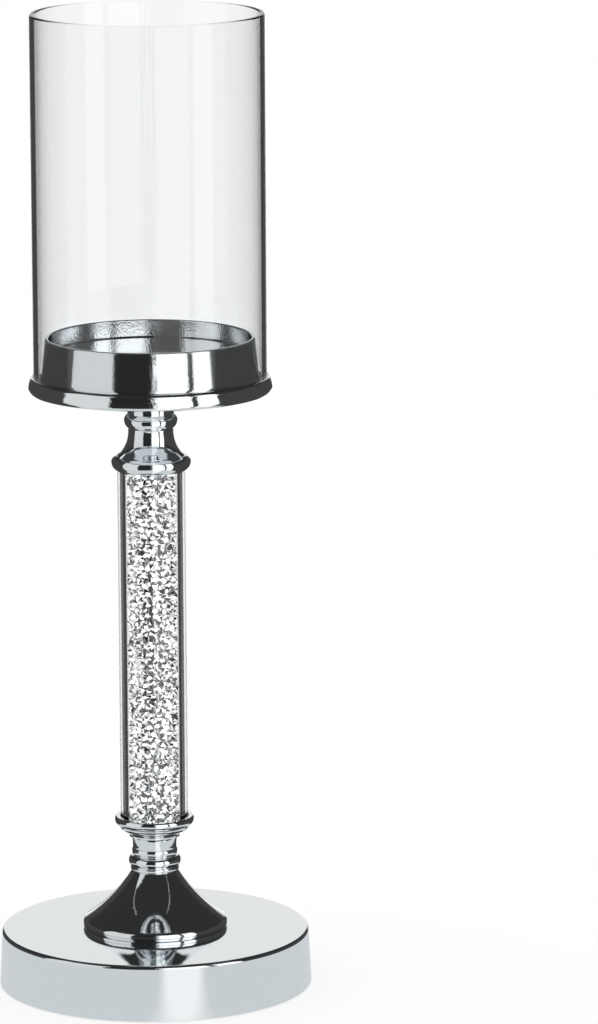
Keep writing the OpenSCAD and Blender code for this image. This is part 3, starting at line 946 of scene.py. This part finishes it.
class CANDLE_LAMP_OT_stage(Operator):
    """Pale floor, studio light and camera"""

    bl_idname = "candle_lamp.stage"
    bl_label = "Stage"

    # Softboxes and dark screens round the lamp: where each begins, in degrees from the camera's side towards
    # its right, how wide its soft edge is, and its brightness as a share of the brightest
    SCREENS = [
        (-180, 1.5, 0.041),
        (-88, 1.5, 0.54),
        (-38, 1.5, 0.017),
        (6, 1.5, 1.0),
        (41.5, 1.5, 0.034),
        (47.3, 1.5, 0.97),
        (68.5, 1.5, 0.041),
    ]
    # Where the edge of the brightest softbox frays, in degrees, and how fine its cloth is
    FRAYED = (-9.5, 20.5)
    CLOTH = 34.0
    # Between two elevations, in degrees, the softboxes lose some of their radiance, down to a least
    DIMMED = (15, 25)
    DIM = -0.026
    LEAST = 0.02
    # Top of the softboxes, in degrees, on the camera's right and on its left, and the softness of that edge
    TOPS = (39, 44.7)
    TOP_SOFT = 0.015
    # Thin light strips over the screens: direction, lowest and highest elevation, and half the width, in degrees
    STRIPS = [(-88, 44, 68), (68.5, 40, 75)]
    STRIP_HALF = 0.5
    # Sides of the backdrop behind the lamp, in degrees from the camera's side: for most rays, and for those that
    # run along the wall of the shade, which sink between two elevations. The softness is in radians.
    BACKDROP_SIDES = (163, 174)
    IN_SHADE = (-10.3, -3)
    BACKDROP_SOFT = 0.05
    # Elevations at which the backdrop begins, is full and ends, in degrees
    BACKDROP_HEIGHT = (-27, -22, 50)
    # Heights between which the backdrop goes from its low brightness to its high one
    HORIZON = (-0.03, 0.06)
    # Painted pool of light on the floor in front of the brightest softbox, for the metal to mirror, set by where
    # the wall of the base shows its two sides, in degrees
    PAINTED_POOL = (3.5, 18)

    def execute(self, context):
        studio = context.scene.candle_lamp_studio
        self.camera(context, studio)
        self.floor(studio)
        self.light(context, studio)
        context.scene.view_settings.view_transform = "Standard"
        return {"FINISHED"}

    def camera(self, context, studio):
        camera = bpy.data.objects.new("camera", bpy.data.cameras.new("camera"))
        camera.data.lens = studio.lens
        down = Matrix.Rotation(math.radians(90) - studio.pitch, 4, "X")
        place = Matrix.Translation(studio.camera)
        camera.matrix_world = place @ down @ Matrix.Rotation(-studio.roll, 4, "Z")
        context.scene.collection.objects.link(camera)
        context.scene.camera = camera

    def seen(self, tree):
        """1 for what the camera sees directly or through glass, and 0 for what metal shows"""
        path = add(tree, "ShaderNodeLightPath")
        not_glossy = calc(tree, "LESS_THAN", path.outputs["Glossy Depth"], 0.5)
        not_diffuse = calc(tree, "LESS_THAN", path.outputs["Diffuse Depth"], 0.5)
        return calc(tree, "MULTIPLY", not_glossy, not_diffuse)

    def floor(self, studio):
        bm = bmesh.new()
        bmesh.ops.create_circle(bm, cap_ends=True, segments=128, radius=studio.floor_r)
        floor = piece_from(bm, "floor")
        material, tree, unused = new_material("pale_floor")
        tree.nodes.remove(unused)
        place = add(tree, "ShaderNodeTexCoord").outputs["Object"]
        # Painted pool of light: the floor that the metal shows is brighter between two lines, by where the
        # base's wall mirrors it
        soft = studio.painted_pool_soft
        first, last = (
            step_up(tree, self.beside(tree, place, math.radians(angle)), -soft, soft) for angle in self.PAINTED_POOL
        )
        pool = calc(tree, "MULTIPLY", first, calc(tree, "SUBTRACT", 1.0, last))
        pale = blend_colours(tree, pool, studio.floor_colour, studio.painted_pool_colour)
        floor_glow_with_painted_pool = feed(tree, add(tree, "ShaderNodeEmission"), Color=pale).outputs[0]
        centre = (0.0, -studio.floor_ahead, 0.0)
        apart = feed(tree, add(tree, "ShaderNodeVectorMath", operation="DISTANCE"), i0=place, i1=centre)
        far = step_up(tree, apart.outputs["Value"], studio.floor_near, studio.floor_far)
        near = calc(tree, "SUBTRACT", 1.0, far)
        white = add(tree, "ShaderNodeEmission").outputs[0]
        shaded = feed(tree, add(tree, "ShaderNodeBsdfDiffuse"), Color=(1.0, 1.0, 1.0, 1.0)).outputs[0]
        clear = add(tree, "ShaderNodeBsdfTransparent").outputs[0]
        direct = self.mixed(tree, calc(tree, "MULTIPLY", near, studio.shadow), white, shaded)
        mirrored = self.mixed(tree, near, clear, floor_glow_with_painted_pool)
        surface = next(node for node in tree.nodes if node.type == "OUTPUT_MATERIAL").inputs["Surface"]
        tree.links.new(self.mixed(tree, self.seen(tree), mirrored, direct), surface)
        floor.data.materials.append(material)

    def mixed(self, tree, factor, first, second):
        """One shader into another"""
        return feed(tree, add(tree, "ShaderNodeMixShader"), i0=factor, i1=first, i2=second).outputs[0]

    def beside(self, tree, place, angle):
        """How far a place on the floor lies to the right of what the base mirrors at an angle of its wall"""
        across = (math.cos(2 * angle), math.sin(2 * angle), 0.0)
        node = feed(tree, add(tree, "ShaderNodeVectorMath", operation="DOT_PRODUCT"), i0=place, i1=across)
        return calc(tree, "ADD", node.outputs["Value"], reach("base_shell") * math.sin(angle))

    def light(self, context, studio):
        world = bpy.data.worlds.new("studio")
        context.scene.world = world
        world.use_nodes = True
        world.cycles.sampling_method = "NONE"
        tree = world.node_tree
        back = next(node for node in tree.nodes if node.type == "BACKGROUND")
        direction = add(tree, "ShaderNodeTexCoord").outputs["Generated"]
        axes = feed(tree, add(tree, "ShaderNodeSeparateXYZ"), Vector=direction).outputs
        azimuth = calc(tree, "ARCTAN2", axes["X"], calc(tree, "MULTIPLY", axes["Y"], -1.0))
        walls = self.walls(tree, studio, direction, azimuth, axes["Z"])
        room = self.backdrop(tree, studio, walls, azimuth, axes["Z"])
        level = blend(tree, self.seen(tree), room, 1.0)
        path = add(tree, "ShaderNodeLightPath")
        dull = calc(tree, "GREATER_THAN", path.outputs["Diffuse Depth"], 0.5)
        feed(tree, back, Color=blend(tree, dull, level, 1.0), Strength=1.0)

    def walls(self, tree, studio, direction, azimuth, up):
        """Radiance of the screens round the lamp, of the strips over them and of the dark room above"""
        cloth = feed(tree, add(tree, "ShaderNodeTexNoise"), Vector=direction, Scale=self.CLOTH, Detail=1.0)
        wobble = calc(tree, "MULTIPLY", calc(tree, "SUBTRACT", cloth.outputs[0], 0.5), studio.ragged)
        frays = within(tree, azimuth, *map(math.radians, self.FRAYED))
        frayed = calc(tree, "MULTIPLY_ADD", wobble, frays, azimuth)
        screens = self.screens(tree, calc(tree, "MULTIPLY_ADD", frayed, 1 / math.tau, 0.5))
        dim = calc(tree, "MULTIPLY", step_up(tree, up, *map(sine, self.DIMMED)), self.DIM)
        lit = calc(tree, "MAXIMUM", calc(tree, "MULTIPLY_ADD", screens, studio.peak, dim), self.LEAST)
        top = blend(tree, calc(tree, "LESS_THAN", azimuth, 0.0), *map(sine, self.TOPS))
        over = step_up(tree, calc(tree, "SUBTRACT", up, top), -self.TOP_SOFT, self.TOP_SOFT)
        walls = blend(tree, over, lit, studio.dark)
        for place, low, high in self.STRIPS:
            sides = (math.radians(place - self.STRIP_HALF), math.radians(place + self.STRIP_HALF))
            inside = within(tree, up, sine(low), sine(high))
            strip = calc(tree, "MULTIPLY", within(tree, azimuth, *sides), inside)
            walls = blend(tree, strip, walls, studio.backdrop)
        return walls

    def backdrop(self, tree, studio, walls, azimuth, up):
        """Puts the backdrop between the walls, behind the lamp"""
        in_shade = within(tree, up, *map(sine, self.IN_SHADE))
        side = blend(tree, in_shade, *map(math.radians, self.BACKDROP_SIDES))
        past = calc(tree, "SUBTRACT", calc(tree, "ABSOLUTE", azimuth), side)
        between_sides = step_up(tree, past, -self.BACKDROP_SOFT, self.BACKDROP_SOFT)
        low, full, high = map(sine, self.BACKDROP_HEIGHT)
        in_height = calc(tree, "MULTIPLY", step_up(tree, up, low, full), calc(tree, "LESS_THAN", up, high))
        glow = blend(tree, step_up(tree, up, *self.HORIZON), studio.backdrop_low, studio.backdrop)
        return blend(tree, calc(tree, "MULTIPLY", between_sides, in_height), walls, glow)

    def screens(self, tree, around):
        """Brightness of the screens at a place round the horizon, from 0 to 1 with the camera's side at 0.5"""
        ramp = add(tree, "ShaderNodeValToRGB")
        feed(tree, ramp, i0=around)
        colours = ramp.color_ramp
        stops = []
        for place, (begin, soft, level) in enumerate(self.SCREENS):
            before = self.SCREENS[place - 1][2]
            if place:
                stops.append(((begin - soft / 2 + 180) / 360, before))
            stops.append(((begin + soft / 2 + 180) / 360, level))
        colours.elements[0].position, level = stops[0]
        colours.elements[0].color = (level, level, level, 1.0)
        colours.elements.remove(colours.elements[1])
        for position, level in stops[1:]:
            stop = colours.elements.new(position)
            stop.color = (level, level, level, 1.0)
        return feed(tree, add(tree, "ShaderNodeRGBToBW"), Color=ramp.outputs[0]).outputs[0]


PIECES = [
    CANDLE_LAMP_OT_base,
    CANDLE_LAMP_OT_foot,
    CANDLE_LAMP_OT_knop,
    CANDLE_LAMP_OT_collars,
    CANDLE_LAMP_OT_plate,
    CANDLE_LAMP_OT_cup,
    CANDLE_LAMP_OT_tube,
    CANDLE_LAMP_OT_chips,
    CANDLE_LAMP_OT_shade,
    CANDLE_LAMP_OT_inner_parts,
    CANDLE_LAMP_OT_stage,
]

GROUPS = {
    "candle_lamp_base": CandleLampBase,
    "candle_lamp_stem": CandleLampStem,
    "candle_lamp_top": CandleLampTop,
    "candle_lamp_chips": CandleLampChips,
    "candle_lamp_finish": CandleLampFinish,
    "candle_lamp_studio": CandleLampStudio,
}


class CANDLE_LAMP_PT_sidebar(Panel):
    """Sizes, finishes and pieces of the candle lamp"""

    bl_idname = "CANDLE_LAMP_PT_sidebar"
    bl_label = "Candle Lamp"
    bl_space_type = "VIEW_3D"
    bl_region_type = "UI"
    bl_category = "Candle Lamp"

    def draw(self, context):
        layout = self.layout
        for name, group in GROUPS.items():
            box = layout.box()
            box.label(text=group.__doc__)
            for prop in group.__annotations__:
                box.prop(getattr(context.scene, name), prop)
        for piece in PIECES:
            layout.operator(piece.bl_idname)


def register():
    for cls in (*GROUPS.values(), *PIECES, CANDLE_LAMP_PT_sidebar):
        bpy.utils.register_class(cls)
    for name, group in GROUPS.items():
        setattr(bpy.types.Scene, name, PointerProperty(type=group))


def unregister():
    for name in GROUPS:
        delattr(bpy.types.Scene, name)
    for cls in (CANDLE_LAMP_PT_sidebar, *reversed(PIECES), *reversed(GROUPS.values())):
        bpy.utils.unregister_class(cls)


def main():
    register()
    for piece in PIECES:
        area, name = piece.bl_idname.split(".")
        getattr(getattr(bpy.ops, area), name)()


if __name__ == "__main__":
    main()
